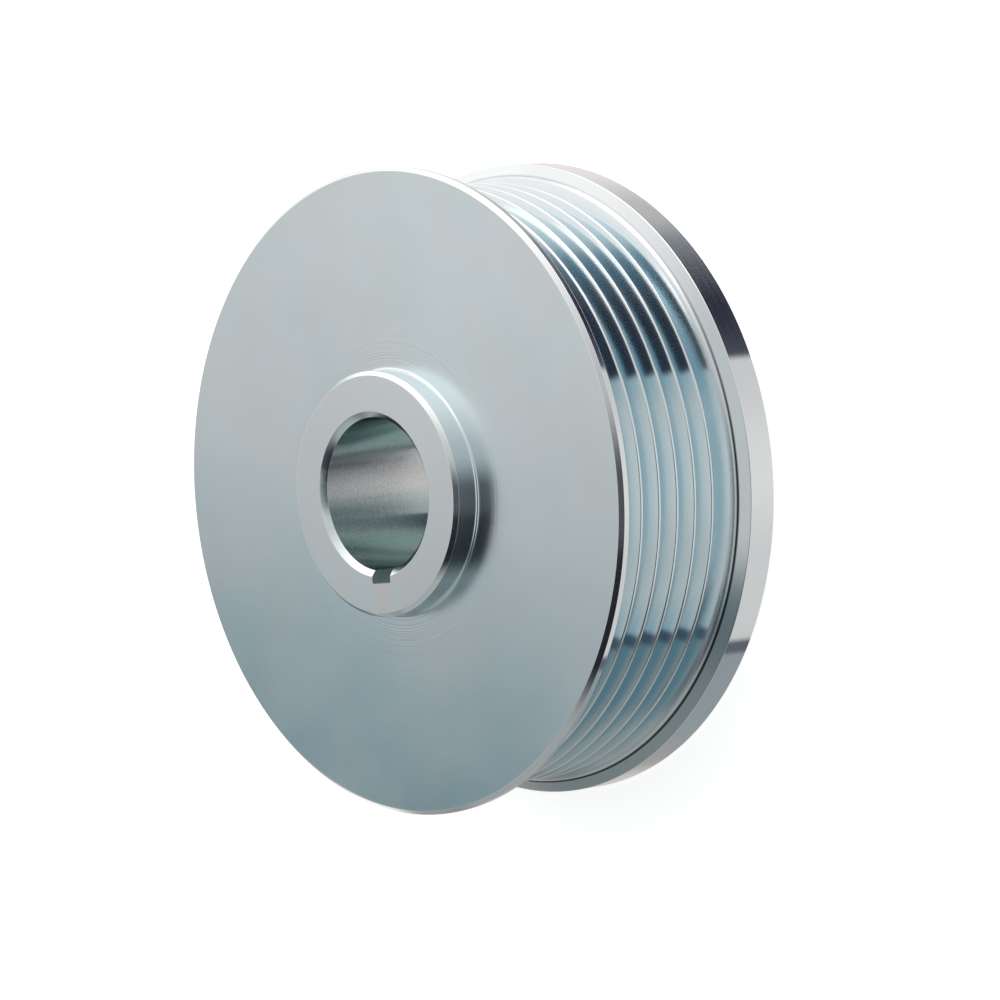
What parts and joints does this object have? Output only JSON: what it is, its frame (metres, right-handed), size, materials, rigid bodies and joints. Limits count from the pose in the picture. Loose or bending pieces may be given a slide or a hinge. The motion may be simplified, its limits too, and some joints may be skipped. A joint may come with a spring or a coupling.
{
  "type": "ribbed belt pulley",
  "caption": "Flanged steel pulley for a ribbed belt, with V-shaped grooves round the rim, a short hub nose, and a bore with a keyway.",
  "frame": {"origin": "centre of the rear face, on the bore's axis, where the pulley rests", "axes": "+Z along the bore's axis towards the hub nose; -X through the middle of the keyway; the picture looks along +Y and down from 42 degrees"},
  "size_m": [0.096, 0.096, 0.0357],
  "materials": {
    "zinc_plated_steel": "satin"
  },
  "bodies": {
    "root": {"pulley": "zinc_plated_steel"}
  },
  "joints": []
}
